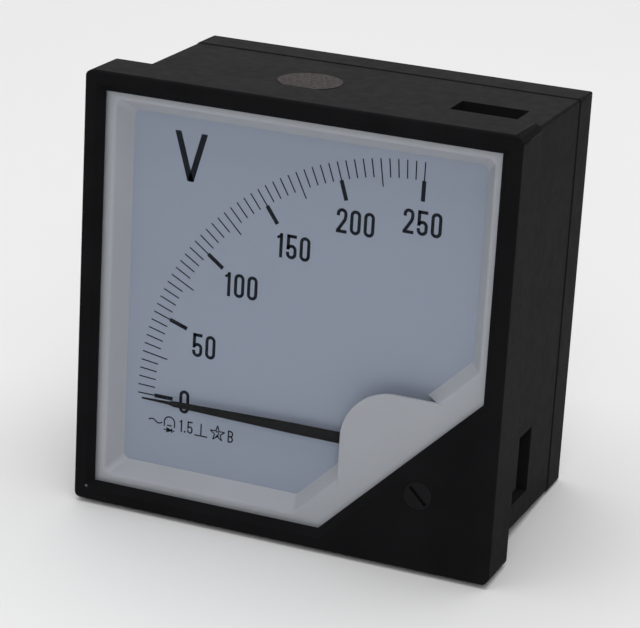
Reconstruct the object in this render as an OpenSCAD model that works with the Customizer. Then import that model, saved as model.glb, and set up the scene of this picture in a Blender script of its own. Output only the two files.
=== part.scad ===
// Square panel meter with a ninety degree moving-coil movement and a rectifier board.
// Millimetres. +X is right, +Z is up and the dial looks along -Y.
// The origin is the middle of the panel cut-out, in the plane of the panel's front.

/* [Case] */
// Width of the square case that passes through the panel
case_w = 111.6; // [104:0.1:136]
// Depth of the case behind the panel
case_depth = 56.3; // [56:0.1:72]
// Thickness of the case walls
wall_t = 2.5; // [2:0.1:3]
// Depth of the rear cover's cap
cover_t = 11; // [9:0.5:14]
// How far the rear cover stands proud of the case
cover_proud = 0.2; // [0:0.05:0.4]

/* [Front frame] */
// How far the frame overlaps the panel on each side
lip_w = 4.2; // [3:0.1:8]
// Thickness of the front frame
bezel_t = 14.7; // [14:0.1:18]
// Radius of the frame's four upright corners
bezel_corner_r = 2.5; // [1:0.1:4]
// Radius of the frame's front edge
bezel_edge_r = 0.8; // [0.4:0.1:1.2]
// Gap between the case and the inside of the frame
case_gap = 0.2; // [0.1:0.05:0.4]

/* [Window] */
// Distance from the case's side to the edge of the window
window_inset = 1.3; // [1:0.1:2.5]
// Length of the corner that is cut off the window, along each side
corner_leg = 43; // [41:0.5:46]
// Width and depth of the bevel round the window
bevel_w = 2.2; // [1:0.1:2.4]
// Thickness of the frame's lip round the window
window_lip = 1.8; // [1.6:0.1:2.2]
// Thickness of the clear pane
pane_t = 1.2; // [1:0.1:1.5]

/* [Mask and dial] */
// Thickness of the moulded white mask
mask_t = 0.9; // [0.7:0.1:1.1]
// Width of the mask's flat rim inside the window
mask_rim = 2.1; // [1:0.1:3]
// Width of the mask's flat band along the cut-off corner
mask_band = 6.9; // [5:0.1:8]
// How far the mask's sloped wall leans in
mask_lean = 3.4; // [2:0.1:4]
// Depth from the mask's front to the dial
mask_depth = 5; // [4.8:0.1:6]
// Radius of the hump that covers the pivot
hump_r = 14.5; // [13.5:0.1:15.5]
// Thickness of the dial plate
dial_t = 0.8; // [0.5:0.1:1]

/* [Pointer] */
// Pivot's distance from the case's right side
pivot_in_x = 24; // [23.5:0.1:26]
// Pivot's distance from the case's underside
pivot_in_z = 26; // [25:0.1:28]
// Space between the pointer's tip and the mask's wall
tip_gap = 5.8; // [4:0.1:10]
// Width of the pointer's blade near the hub
blade_w = 3.2; // [2:0.1:3.6]
// Thickness of the pointer
blade_t = 0.2; // [0.15:0.05:0.3]
// Travel past zero to the lower stop, in degrees
under_travel = 3; // [1:0.5:4]
// Scale angle, in degrees
scale_angle = 90; // [80:1:90]
// Travel past full scale to the upper stop, in degrees
over_travel = 3; // [1:0.5:4]

/* [Zero adjuster] */
// Screw's distance from the case's right side
zero_in_x = 16.6; // [15.5:0.1:17.5]
// Screw's distance from the case's underside
zero_in_z = 16.8; // [15.5:0.1:17.5]
// Diameter of the screw's head
zero_head_d = 7.8; // [6:0.1:9]
// Throw of the screw's eccentric pin
zero_throw = 1; // [0.5:0.1:1.2]

/* [Movement] */
// Diameter of the magnet inside the coil
magnet_d = 16; // [14:0.5:17]
// Length of the magnet
magnet_l = 14; // [12:0.5:15]
// Radial room for the coil, between the magnet and the iron ring
air_gap = 3; // [2.8:0.1:3.6]
// Wall of the iron ring
ring_t = 4; // [3.6:0.1:4.4]
// Turns of each hairspring
spring_turns = 4; // [3:1:6]
// Thickness of the hairspring strip
spring_t = 0.14; // [0.1:0.02:0.2]

/* [Clip slots] */
// Length of a clip slot
slot_l = 18.5; // [16:0.1:20]
// Width of a clip slot
slot_w = 10; // [9:0.1:11]
// Depth of a clip slot
slot_depth = 5; // [4.5:0.1:5.5]
// Distance from the outer end of a top or bottom slot to the case's side
slot_end = 7.7; // [7:0.1:10]
// Distance from the outer end of a side slot to the case's side
side_slot_end = 7.2; // [7:0.1:10]
// Distance from the panel to the slots' rear edges
slot_back = 26.2; // [25:0.1:26.5]
// Length of the step in a side slot, which lets the clip's foot in
slot_step_l = 4; // [3:0.1:6]
// How far the step reaches forward of the slot
slot_step_w = 2.6; // [2:0.1:3]

/* [Terminals] */
// Diameter of the terminal studs
stud_d = 5; // [4:0.5:6]
// Length of the studs behind the rear cover
stud_out = 14; // [12:0.5:20]
// Distance between the studs
stud_pitch = 40; // [30:1:50]

/* [Hidden] */
$fn = 64;

// clearances
fit = 0.05; // turning parts
slip = 0.15; // parts that drop into each other
eps = 0.01; // overlap inside one solid

// the case and the front frame
case_h = case_w / 2;
front_h = case_h + lip_w;
inner_h = case_h - wall_t;
front_y = -bezel_t;
cover_y = case_depth - cover_t;

// the window's layers, from the front
window_h = case_h - window_inset;
window_cut = 2 * window_h - corner_leg;
pane_y = front_y + window_lip;
mask_y = pane_y + pane_t;
dial_y = mask_y + mask_depth;
mouth_y = dial_y - 0.3;
flange_grow = 1.1;
foot_h = window_h - mask_rim - mask_lean;
rim_cut = window_cut - mask_band * sqrt(2);
foot_cut = rim_cut - mask_lean * sqrt(2);
skirt_cut = window_cut + 4;
pocket_r = 1.5;

// the pivot and what lies along it
pivot_x = case_h - pivot_in_x;
pivot_z = -case_h + pivot_in_z;
hump_x = pivot_x - 1.8;
hump_z = pivot_z + 1.2;
hump_back = mask_y + mask_t;
lever_t = 0.4;
lever_y = hump_back + 0.8;
bridge_t = 1.2;
bridge_y = lever_y + lever_t;
bridge_back = bridge_y + bridge_t;
spring_w = 0.5;
spring_y = bridge_back + 0.35;
hub_y = spring_y + spring_w + 0.15;
blade_y = mask_y + 2.75;
pointer_len = pivot_x + foot_h - tip_gap;

// the coil and the magnet
magnet_r = magnet_d / 2;
magnet_y = 4;
magnet_end = magnet_y + magnet_l;
ring_r = magnet_r + air_gap;
ring_out = ring_r + ring_t;
ring_y = magnet_y - 1;
ring_end = magnet_end + 1;
coil_in = magnet_r + 0.8;
former_t = 0.3;
coil_out = ring_r - 0.8;
coil_w = 3;
coil_front = magnet_y - 1 - (coil_out - coil_in);
coil_rear = magnet_end + 1 + (coil_out - coil_in);
plate_t = 0.5;
staff_d = 1.2;
post_r = ring_r + ring_t / 2;

// behind the magnet
rear_spring_y = coil_rear + plate_t + 0.7;
bracket_t = 1.5;
bracket_y = ring_end + 5;
bracket_h = 16.5;
corner_in = 13.8;
floor_y = bracket_y + bracket_t + 2.5;
floor_t = 2.5;
floor_back = floor_y + floor_t;
wire_hole_d = 8;
wire_hole_z = pivot_z + bracket_h + 6;

// the zero adjuster
zero_x = case_h - zero_in_x;
zero_z = -case_h + zero_in_z;
zero_dx = zero_x - pivot_x;
zero_dz = zero_z - pivot_z;
zero_reach = sqrt(zero_dx * zero_dx + zero_dz * zero_dz);
zero_dir = atan2(zero_dz, zero_dx);
zero_head_t = 1.6;
zero_shank_d = 4.6;
zero_boss_t = 1.6;
zero_collar_t = 0.5;
zero_pin_d = 1.6;

// the rear
head_d = 6;
column_in = 7.3;
column_d = 8;
screw_d = 3;
cover_step = cover_y + 4.5;
board_x = -14;
board_w = 46;
board_h = 36;
board_t = 1.6;
board_y = floor_back + 5.5;
board_post = 3.5;
stud_inner = case_depth - wall_t;
boss_y = stud_inner - 2;
lug_t = 0.8;
lug_y = boss_y - lug_t;
washer_t = 1;
nut_t = 4;
nut_af = 8;

// ---------- shared shapes ----------

// A flat outline in X and Z, made solid from y0 to y1
module slab(y0, y1) {
    translate([0, y1, 0]) rotate([90, 0, 0]) linear_extrude(y1 - y0) children();
}

// A round bar along Y
module rod(x, z, y0, y1, d, sides = 48) {
    translate([x, y1, z]) rotate([90, 0, 0]) cylinder(d = d, h = y1 - y0, $fn = sides);
}

// A cone along Y, with diameter d0 at y0 and d1 at y1
module taper(x, z, y0, y1, d0, d1) {
    translate([x, y1, z]) rotate([90, 0, 0]) cylinder(d1 = d1, d2 = d0, h = y1 - y0, $fn = 48);
}

// A square with round corners
module round_square(half, r) {
    square([2 * half, 2 * (half - r)], center = true);
    square([2 * (half - r), 2 * half], center = true);
    for (sx = [-1, 1], sz = [-1, 1]) {
        translate([sx * (half - r), sz * (half - r)]) circle(r);
    }
}

// A box seen from the side, with its front and rear edges rounded
module side_outline(y0, y1, half, front_r, rear_r) {
    mid = max(front_r, rear_r);
    translate([y0, -half + mid]) square([y1 - y0, 2 * (half - mid)]);
    translate([y0 + front_r, -half]) square([y1 - y0 - front_r - rear_r, 2 * half]);
    for (s = [-1, 1]) {
        translate([y0 + front_r, s * (half - front_r)]) circle(front_r);
        translate([y1 - rear_r, s * (half - rear_r)]) circle(rear_r);
        translate([y0, s * (half - mid / 2 - front_r / 2) - (mid - front_r) / 2])
            square([front_r + eps, mid - front_r + eps]);
        translate([y1 - rear_r - eps, s * (half - mid / 2 - rear_r / 2) - (mid - rear_r) / 2])
            square([rear_r + eps, mid - rear_r + eps]);
    }
}

// A square block whose edges are all rounded by true arcs
module soft_block(half, y0, y1, corner_r, front_r, rear_r) {
    intersection() {
        slab(y0, y1) round_square(half, corner_r);
        rotate([90, 0, 90]) linear_extrude(2 * half + 2, center = true)
            side_outline(y0, y1, half, front_r, rear_r);
        rotate([0, 0, 90]) linear_extrude(2 * half + 2, center = true)
            side_outline(y0, y1, half, front_r, rear_r);
    }
}

// A square with its lower right corner cut off where x - z reaches cut
module cut_square(half, cut) {
    leg = 2 * half - cut;
    polygon([[-half, -half], [half - leg, -half], [half, leg - half], [half, half], [-half, half]]);
}

// The window's outline, grown evenly by g
module window_outline(g = 0) {
    cut_square(window_h + g, window_cut + g * sqrt(2));
}

// Repeats its children once for each side of the case
module each_side() {
    for (turn = [0:90:270]) rotate([0, turn, 0]) children();
}

// Repeats its children on the right and the left side
module both_sides() {
    for (turn = [0, 180]) rotate([0, turn, 0]) children();
}

// Repeats its children on the underside and the top
module top_and_bottom() {
    for (turn = [90, 270]) rotate([0, turn, 0]) children();
}

// A screw with a cheese head; the head's underside is at y, dir is -1 when the head looks forward
module cheese_screw(x, z, y, d, length, head, head_t, dir = -1) {
    translate([x, y, z]) rotate([90 * dir, 0, 0]) {
        difference() {
            translate([0, 0, -head_t]) cylinder(d = head, h = head_t, $fn = 48);
            translate([-head, -head / 12, -head_t - 1]) cube([2 * head, head / 6, 1 + head_t / 2]);
        }
        translate([0, 0, -eps]) cylinder(d = d, h = length + eps, $fn = 32);
    }
}

// ---------- front frame and window ----------

module zero_boss_hole() {
    rod(zero_x, zero_z, front_y - 1, front_y + zero_head_t, zero_head_d + 4 * fit);
    rod(zero_x, zero_z, front_y, front_y + 10, zero_shank_d + 2 * fit);
}

module snap_row(grow) {
    for (x = [-28, 28]) {
        translate([x - 6 - grow, 0, 0]) children();
    }
}

module bezel() {
    cavity = case_h + case_gap;
    color([0.09, 0.09, 0.1]) difference() {
        union() {
            difference() {
                soft_block(front_h, front_y, 0, bezel_corner_r, bezel_edge_r, 0.3);
                slab(pane_y, 1) square(2 * cavity, center = true);
                slab(front_y - 1, pane_y + 1) window_outline();
                hull() {
                    slab(front_y - 1, front_y) window_outline(bevel_w);
                    slab(pane_y - 0.2, pane_y) window_outline();
                }
            }
            rod(zero_x, zero_z, pane_y - eps, front_y + zero_head_t + zero_boss_t, zero_head_d + 3);
        }
        zero_boss_hole();
        each_side() snap_row(slip) {
            translate([0, -6.4, cavity - 1]) cube([12 + 2 * slip, 2.2, 1.5]);
        }
    }
}

module window_pane() {
    color([0.9, 0.95, 1, 0.3]) slab(pane_y, mask_y) window_outline(flange_grow);
}

// ---------- mask and dial ----------

// The pocket in front of the dial, with round corners, grown evenly by g
module dial_pocket(g) {
    hull() {
        for (step = [0, 1]) {
            half = foot_h + (1 - step) * mask_lean + g;
            cut = foot_cut + ((1 - step) * mask_lean + g) * sqrt(2);
            y = step == 0 ? mask_y : dial_y;
            slab(y - eps, y + eps) pocket_corners(half - pocket_r, cut - pocket_r * sqrt(2));
        }
    }
}

// The five round corners of the pocket
module pocket_corners(half, cut) {
    for (p = [[-half, -half], [cut - half, -half], [half, half - cut], [half, half], [-half, half]]) {
        translate(p) circle(pocket_r, $fn = 32);
    }
}

// The plate over the pivot, grown evenly by g: a round corner, a side down and a side to the right
module hump_outline(g = 0) {
    far = case_h;
    r = hump_r + g;
    translate([hump_x, hump_z]) circle(r);
    translate([hump_x - r, -far]) square([far, hump_z + far]);
    translate([hump_x, -far]) square([far, hump_z + r + far]);
}

// The room below that plate, where the mask has no sloped wall
module hump_room() {
    far = case_h;
    translate([hump_x - hump_r, -far]) square([far, hump_z + hump_r + far]);
}

module scale_mask() {
    color([0.87, 0.88, 0.86]) {
        difference() {
            slab(mask_y, hump_back) cut_square(window_h + flange_grow, skirt_cut);
            difference() {
                dial_pocket(0);
                slab(mask_y - 1, dial_y) hump_outline();
            }
        }
        difference() {
            intersection() {
                dial_pocket(mask_t);
                slab(mask_y, dial_y) square(2 * case_w, center = true);
            }
            dial_pocket(0);
            slab(hump_back - eps, dial_y + 1) hump_room();
        }
        difference() {
            slab(mask_y, mouth_y) cut_square(window_h + flange_grow, skirt_cut);
            slab(mask_y - 1, mouth_y + 1) cut_square(window_h + flange_grow - 1, skirt_cut + 4);
        }
    }
}

module dial_plate() {
    notch = 2.3;
    color([0.88, 0.89, 0.9]) difference() {
        slab(dial_y, dial_y + dial_t) square(2 * (inner_h - slip), center = true);
        slab(dial_y - 1, dial_y + dial_t + 1) hump_outline(-notch);
    }
}

// ---------- case ----------

// The four walls, stepped in at the rear so that a fine line shows along the cover
module case_shell() {
    line_w = 0.4;
    difference() {
        union() {
            slab(mouth_y, cover_y - line_w) round_square(case_h, 0.8);
            slab(mouth_y, cover_y) round_square(case_h - 0.7, 0.8);
        }
        slab(mouth_y - 1, cover_y + 1) square(2 * inner_h, center = true);
    }
}

// A clip slot in the right side; one with a step is open further forward at its outer end
module clip_slot(end, step) {
    y = slot_back - slot_w;
    translate([case_h - slot_depth, y, end - case_h]) {
        cube([slot_depth + 1, slot_w, slot_l]);
        if (step) translate([0, -slot_step_w, 0]) cube([slot_depth + 1, slot_w, slot_step_l]);
    }
}

// The closed box behind a clip slot
module slot_box(end, step) {
    wall = 1.2;
    front = slot_back - slot_w - (step ? slot_step_w : 0) - wall;
    translate([case_h - slot_depth - wall, front, end - case_h - wall])
        cube([slot_depth + wall - 1, slot_back + wall - front, slot_l + 2 * wall]);
}

module column_places(half) {
    for (sx = [-1, 1], sz = [-1, 1]) translate([sx * half, 0, sz * half]) children();
}

module case_body() {
    column = case_h - column_in;
    color([0.11, 0.11, 0.12]) difference() {
        union() {
            case_shell();
            slab(dial_y + dial_t, dial_y + dial_t + 2) difference() {
                square(2 * inner_h + eps, center = true);
                square(2 * (inner_h - 1.5), center = true);
            }
            slab(floor_y, floor_back) square(2 * inner_h + 2 * eps, center = true);
            both_sides() slot_box(side_slot_end, true);
            top_and_bottom() slot_box(slot_end, false);
            column_places(column) rod(0, 0, floor_y, cover_y, column_d);
            translate([pivot_x, 0, pivot_z]) column_places(corner_in)
                rod(0, 0, bracket_y + bracket_t, floor_y + eps, 5.6);
            translate([board_x, 0, 0]) board_corners() rod(0, 0, floor_back - eps, board_y, 6);
            each_side() snap_row(0) translate([0, -6.1, case_h - eps]) cube([12, 1.6, 0.35]);
        }
        both_sides() clip_slot(side_slot_end, true);
        top_and_bottom() clip_slot(slot_end, false);
        column_places(column) rod(0, 0, cover_y - 12, cover_y + 1, screw_d - 0.5);
        translate([pivot_x, 0, pivot_z]) column_places(corner_in)
            rod(0, 0, bracket_y, floor_back + 1, 2.2);
        translate([board_x, 0, 0]) board_corners() rod(0, 0, floor_back + 1, board_y + 1, 2.2);
        rod(pivot_x, pivot_z, floor_y - 1, floor_back + 1, 14);
        rod(pivot_x, wire_hole_z, floor_y - 1, floor_back + 1, wire_hole_d);
    }
}

module rear_cover() {
    half = case_h + cover_proud;
    column = case_h - column_in;
    color([0.12, 0.12, 0.13]) difference() {
        union() {
            difference() {
                soft_block(half, cover_y, case_depth, 1, 0.3, 1.2);
                slab(cover_y - 1, stud_inner) square(2 * (half - wall_t), center = true);
            }
            difference() {
                slab(cover_y - 3, cover_y + 1) square(2 * (inner_h - slip), center = true);
                slab(cover_y - 4, cover_y + 2) square(2 * (inner_h - slip - 1.5), center = true);
                column_places(column) rod(0, 0, cover_y - 4, cover_y, column_d + 2 * slip);
                column_places(column + 3) slab(cover_y - 4, cover_y) square(column_d, center = true);
            }
            slab(cover_y, cover_y + 1) difference() {
                square(2 * (half - 1), center = true);
                square(2 * (inner_h - slip - 1.5), center = true);
            }
            column_places(column) rod(0, 0, cover_y, case_depth - 1, column_d + 1.5);
            for (s = [-1, 1]) rod(s * stud_pitch / 2, 0, boss_y, stud_inner + 1, stud_d + 9);
        }
        column_places(column) rod(0, 0, cover_y - 1, case_depth + 1, screw_d + 0.4);
        column_places(column) rod(0, 0, cover_step, case_depth + 1, head_d + 0.6);
        for (s = [-1, 1]) rod(s * stud_pitch / 2, 0, stud_inner - 4, case_depth + 1, stud_d + 0.2);
    }
}

module cover_screws() {
    column = case_h - column_in;
    color("silver") column_places(column)
        cheese_screw(0, 0, cover_step, screw_d - 0.6, 13, head_d, 2.2, 1);
}

module seal_sticker() {
    color([0.62, 0.6, 0.6]) translate([-12, 22.3, case_h]) cylinder(d = 17.5, h = 0.12, $fn = 96);
}

// ---------- zero adjuster ----------

module zero_screw() {
    head_y = front_y + zero_head_t;
    collar_y = head_y + zero_boss_t + fit;
    pin_end = lever_y + lever_t + 0.5;
    color([0.1, 0.1, 0.11]) {
        difference() {
            rod(zero_x, zero_z, front_y, head_y, zero_head_d);
            translate([zero_x, front_y, zero_z]) rotate([0, 45, 0])
                cube([zero_head_d - 1.4, 1.8, 1], center = true);
        }
        rod(zero_x, zero_z, head_y - eps, collar_y, zero_shank_d);
        rod(zero_x, zero_z, collar_y - eps, collar_y + zero_collar_t, zero_shank_d + 0.8);
        translate([zero_throw * cos(zero_dir), 0, zero_throw * sin(zero_dir)])
            rod(zero_x, zero_z, collar_y, pin_end, zero_pin_d);
    }
}

// Puts a radial piece at an angle in the dial's plane, measured from +X towards +Z
module at_pivot(angle) {
    translate([pivot_x, 0, pivot_z]) rotate([0, -angle, 0]) children();
}

module zero_lever() {
    reach = zero_reach + zero_throw;
    stud_r = 6.2;
    stud_dir = 5;
    color([0.78, 0.62, 0.3]) {
        difference() {
            union() {
                rod(pivot_x, pivot_z, lever_y, bridge_y, 7.6);
                at_pivot(zero_dir) translate([2, lever_y, -1.9]) cube([reach, lever_t, 3.8]);
                at_pivot(stud_dir) translate([2, lever_y, -0.6]) cube([stud_r - 1.6, lever_t, 1.2]);
            }
            rod(pivot_x, pivot_z, lever_y - 1, bridge_y + 1, 3 + 2 * fit);
            at_pivot(zero_dir) translate([reach - 2, lever_y - 1, -zero_pin_d / 2 - 0.06])
                cube([6, lever_t + 2, zero_pin_d + 0.12]);
        }
        at_pivot(stud_dir) translate([stud_r, lever_y, -0.6])
            cube([lever_t, spring_y + spring_w - lever_y, 1.2]);
    }
}

// ---------- front bridge ----------

// The two ears are the pointer's stops
module front_bridge() {
    ear_r = 12.5;
    ear_w = 2.2;
    stop_gap = blade_w / 2 + 0.15;
    color([0.8, 0.68, 0.4]) difference() {
        slab(bridge_y, bridge_back) translate([pivot_x, pivot_z]) {
            circle(4);
            for (a = [45, 225]) {
                rotate(a) translate([0, -2.5]) square([post_r, 5]);
                rotate(a) translate([post_r, 0]) circle(2.5);
            }
            rotate(180 + under_travel) translate([0, stop_gap]) square([ear_r, ear_w]);
            rotate(180 - scale_angle - over_travel) translate([0, -stop_gap - ear_w])
                square([ear_r, ear_w]);
        }
        rod(pivot_x, pivot_z, bridge_y - 1, bridge_back + 1, 3.06);
        for (a = [45, 225]) at_pivot(a) rod(post_r, 0, bridge_y - 1, bridge_back + 1, 2.2);
    }
}

module bridge_screws() {
    color("silver") for (a = [45, 225]) at_pivot(a)
        cheese_screw(post_r, 0, bridge_y, 2, 4.5, 3.6, 0.9);
}

module front_standoffs() {
    color([0.8, 0.68, 0.4]) for (a = [45, 225]) at_pivot(a) difference() {
        rod(post_r, 0, bridge_back, ring_y, 3.8);
        rod(post_r, 0, bridge_back - 1, bridge_back + 5, 2.06);
    }
}

module front_jewel_screw() {
    color([0.8, 0.68, 0.4]) difference() {
        union() {
            rod(pivot_x, pivot_z, lever_y - eps, bridge_back, 3);
            rod(pivot_x, pivot_z, lever_y - 0.4, lever_y, 4.4);
        }
        translate([pivot_x, lever_y - 0.5, pivot_z]) cube([5, 0.6, 0.5], center = true);
        rod(pivot_x, pivot_z, bridge_back - 0.8, bridge_back + 1, 1.5);
    }
}

module jewel_cup(y, dir) {
    translate([pivot_x, y, pivot_z]) rotate([90 * dir, 0, 0]) difference() {
        cylinder(d = 1.5, h = 0.8, $fn = 32);
        translate([0, 0, -eps]) cylinder(d1 = 1, d2 = 0.1, h = 0.5, $fn = 32);
    }
}

module pivot_jewels() {
    color([0.75, 0.1, 0.2]) {
        jewel_cup(bridge_back, 1);
        jewel_cup(bracket_y - 0.6, -1);
    }
}

// ---------- moving coil ----------

// The pointer's outline in the dial's plane; the tip lies at -X
module pointer_plan() {
    polygon([[-pointer_len, -0.2], [-pointer_len + 8, -0.45], [-pointer_len + 9.5, -0.8],
        [-32, -blade_w / 2 + 0.1], [-17, -blade_w / 2], [-6, -1.2], [-6, 1.2], [-17, blade_w / 2],
        [-32, blade_w / 2 - 0.1], [-pointer_len + 9.5, 0.8], [-pointer_len + 8, 0.45],
        [-pointer_len, 0.2]]);
    translate([-7, -1.2]) square([7, 2.4]);
    circle(2.6);
    square([1, 17], center = true);
    translate([0, -0.5]) square([12.5, 1]);
}

// The pointer seen from below, with the step that brings the blade forward
module pointer_side() {
    polygon([[-pointer_len - 1, blade_y], [-9, blade_y], [-6.5, hub_y], [14, hub_y],
        [14, hub_y + blade_t], [-6.5, hub_y + blade_t], [-9, blade_y + blade_t],
        [-pointer_len - 1, blade_y + blade_t]]);
}

module pointer() {
    color([0.06, 0.06, 0.06]) difference() {
        intersection() {
            slab(blade_y - 1, hub_y + 1) translate([pivot_x, pivot_z]) pointer_plan();
            translate([pivot_x, 0, pivot_z]) linear_extrude(30, center = true) pointer_side();
        }
        rod(pivot_x, pivot_z, hub_y - 1, hub_y + 1, staff_d + 0.04);
    }
}

// A bob pushed onto a balance arm that lies along X
module bob(x, d, l, arm_w) {
    difference() {
        translate([x, hub_y + blade_t / 2, 0]) rotate([0, 90, 0]) cylinder(d = d, h = l, $fn = 32);
        translate([x - 1, hub_y - 0.02, -arm_w / 2 - 0.02])
            cube([l + 2, blade_t + 0.04, arm_w + 0.04]);
    }
}

module balance_weights() {
    color([0.78, 0.62, 0.3]) {
        at_pivot(0) bob(8.2, 3.3, 4.15, 1);
        for (a = [90, 270]) at_pivot(a) bob(6.8, 1.6, 1.4, 1);
    }
}

module front_collet() {
    color([0.78, 0.62, 0.3]) difference() {
        rod(pivot_x, pivot_z, spring_y, hub_y, 2.4);
        rod(pivot_x, pivot_z, spring_y - 1, hub_y + 1, staff_d + 0.04);
    }
}

// A flat spiral strip, from radius r0 to r1, that ends at the given angle
module spiral(r0, r1, end_angle) {
    steps = spring_turns * 24;
    ways = [for (i = [0:steps]) [end_angle + (i - steps) * 15, r0 + (r1 - r0) * i / steps]];
    inner = [for (w = ways) (w[1] - spring_t / 2) * [cos(w[0]), sin(w[0])]];
    outer = [for (i = [steps:-1:0]) (ways[i][1] + spring_t / 2) * [cos(ways[i][0]), sin(ways[i][0])]];
    polygon(concat(inner, outer));
}

module hairspring_front() {
    color([0.72, 0.55, 0.3]) slab(spring_y, spring_y + spring_w)
        translate([pivot_x, pivot_z]) spiral(1.2 + spring_t, 6.2 - spring_t, 5);
}

module front_staff() {
    color([0.8, 0.8, 0.82]) {
        rod(pivot_x, pivot_z, spring_y - 0.05, coil_front, staff_d);
        taper(pivot_x, pivot_z, bridge_back - 0.25, spring_y, 0.06, 0.8);
        translate([pivot_x - 3, coil_front - plate_t, pivot_z - 1.5]) cube([6, plate_t, 3]);
    }
}

module coil_former() {
    color([0.75, 0.76, 0.78]) translate([pivot_x, 0, pivot_z]) difference() {
        frame_block(coil_in + former_t, coil_w / 2 + 0.2, coil_out - coil_in - former_t);
        frame_block(coil_in, 4, coil_out - coil_in);
    }
}

// The block that a coil frame is cut from
module frame_block(half, side, in_y) {
    translate([-half, coil_front + in_y, -side])
        cube([2 * half, coil_rear - coil_front - 2 * in_y, 2 * side]);
}

module coil_winding() {
    color([0.72, 0.4, 0.2]) translate([pivot_x, 0, pivot_z]) difference() {
        frame_block(coil_out, coil_w / 2, 0);
        frame_block(coil_in + former_t, 4, coil_out - coil_in - former_t);
    }
}

module rear_staff() {
    color([0.8, 0.8, 0.82]) {
        rod(pivot_x, pivot_z, coil_rear, rear_spring_y + spring_w + 0.4, staff_d);
        taper(pivot_x, pivot_z, rear_spring_y + spring_w + 0.4, bracket_y - 0.35, 0.8, 0.06);
        translate([pivot_x - 3, coil_rear, pivot_z - 1.5]) cube([6, plate_t, 3]);
    }
}

module rear_collet() {
    color([0.78, 0.62, 0.3]) difference() {
        rod(pivot_x, pivot_z, rear_spring_y, rear_spring_y + spring_w + 0.15, 2.4);
        rod(pivot_x, pivot_z, rear_spring_y - 1, rear_spring_y + 2, staff_d + 0.04);
    }
}

module hairspring_rear() {
    color([0.72, 0.55, 0.3]) slab(rear_spring_y, rear_spring_y + spring_w)
        translate([pivot_x, pivot_z]) spiral(1.2 + spring_t, 6.2 - spring_t, 95);
}

module rear_spring_arm() {
    color([0.78, 0.62, 0.3]) at_pivot(95) {
        translate([6.2, rear_spring_y, -0.6]) cube([lever_t, bracket_y - rear_spring_y, 1.2]);
        translate([6.2, bracket_y - lever_t, -0.6]) cube([5, lever_t, 1.2]);
    }
}

// ---------- magnet system and its bracket ----------

module rear_jewel_screw() {
    color([0.8, 0.68, 0.4]) difference() {
        union() {
            rod(pivot_x, pivot_z, bracket_y - 0.6, bracket_y + bracket_t + 1, 3);
            rod(pivot_x, pivot_z, bracket_y + bracket_t, bracket_y + bracket_t + 1, 5, 6);
        }
        translate([pivot_x, bracket_y + bracket_t + 1, pivot_z]) cube([6, 0.8, 0.5], center = true);
        rod(pivot_x, pivot_z, bracket_y - 1.6, bracket_y + 0.2, 1.5);
    }
}

module core_magnet() {
    color([0.4, 0.4, 0.42]) rod(pivot_x, pivot_z, magnet_y, magnet_end, magnet_d, 96);
}

module magnet_spacers() {
    color([0.62, 0.63, 0.65]) translate([pivot_x, 0, pivot_z])
        slab(magnet_y, magnet_end) for (a = [45, 225]) rotate(a) intersection() {
            difference() {
                circle(ring_r, $fn = 96);
                circle(magnet_r, $fn = 96);
            }
            polygon([[0, 0], [20, -6.5], [20, 6.5]]);
        }
}

module yoke_ring() {
    color([0.5, 0.5, 0.52]) difference() {
        rod(pivot_x, pivot_z, ring_y, ring_end, 2 * ring_out, 96);
        rod(pivot_x, pivot_z, ring_y - 1, ring_end + 1, 2 * ring_r, 96);
        for (a = [45:90:315]) at_pivot(a) rod(post_r, 0, ring_end - 6, ring_end + 1, 2.06);
    }
}

module rear_standoffs() {
    color([0.8, 0.68, 0.4]) for (a = [45:90:315]) at_pivot(a) difference() {
        rod(post_r, 0, ring_end, bracket_y, 3.8);
        rod(post_r, 0, ring_end - 1, bracket_y + 1, 2.2);
    }
}

module rear_bracket() {
    color([0.7, 0.71, 0.73]) translate([pivot_x, 0, pivot_z]) difference() {
        slab(bracket_y, bracket_y + bracket_t) round_square(bracket_h, 2.5);
        column_places(corner_in) rod(0, 0, bracket_y - 1, bracket_y + bracket_t + 1, 3.2);
        rod(0, 0, bracket_y - 1, bracket_y + bracket_t + 1, 3.06);
        for (a = [45:90:315]) rotate([0, -a, 0])
            rod(post_r, 0, bracket_y - 1, bracket_y + bracket_t + 1, 2.2);
    }
}

module ring_screws() {
    color("silver") for (a = [45:90:315]) at_pivot(a)
        cheese_screw(post_r, 0, bracket_y + bracket_t, 2, 11, 3.8, 1.4, 1);
}

module bracket_screws() {
    color("silver") translate([pivot_x, 0, pivot_z]) column_places(corner_in)
        cheese_screw(0, 0, bracket_y, 2.1, 6, 4.2, 1.6);
}

// ---------- rectifier and wiring ----------

module board_corners() {
    for (sx = [-1, 1], sz = [-1, 1])
        translate([sx * (board_w / 2 - board_post), 0, sz * (board_h / 2 - board_post)]) children();
}

module rectifier_board() {
    color([0.55, 0.45, 0.22]) difference() {
        slab(board_y, board_y + board_t) translate([board_x, 0]) square([board_w, board_h], center = true);
        translate([board_x, 0, 0]) board_corners() rod(0, 0, board_y - 1, board_y + 5, 3);
    }
}

module board_screws() {
    color("silver") translate([board_x, 0, 0]) board_corners()
        cheese_screw(0, 0, board_y + board_t, 2.1, 5.5, 4.6, 1.6, 1);
}

// A round component that lies along Z, with its wires bent down to the board
module axial_part(x, z, d, l, wire) {
    y = board_y + board_t + d / 2 + 0.3;
    translate([x, y, z - l / 2]) cylinder(d = d, h = l, $fn = 32);
    translate([x, y, z - l / 2 - 2]) cylinder(d = wire, h = l + 4, $fn = 16);
    for (s = [-1, 1]) rod(x, z + s * (l / 2 + 2), board_y + board_t, y + wire / 2, wire, 16);
}

module diodes() {
    color([0.12, 0.12, 0.13]) for (i = [0:3]) axial_part(board_x - 15 + 6 * i, 0, 2.7, 5.2, 0.7);
}

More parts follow.
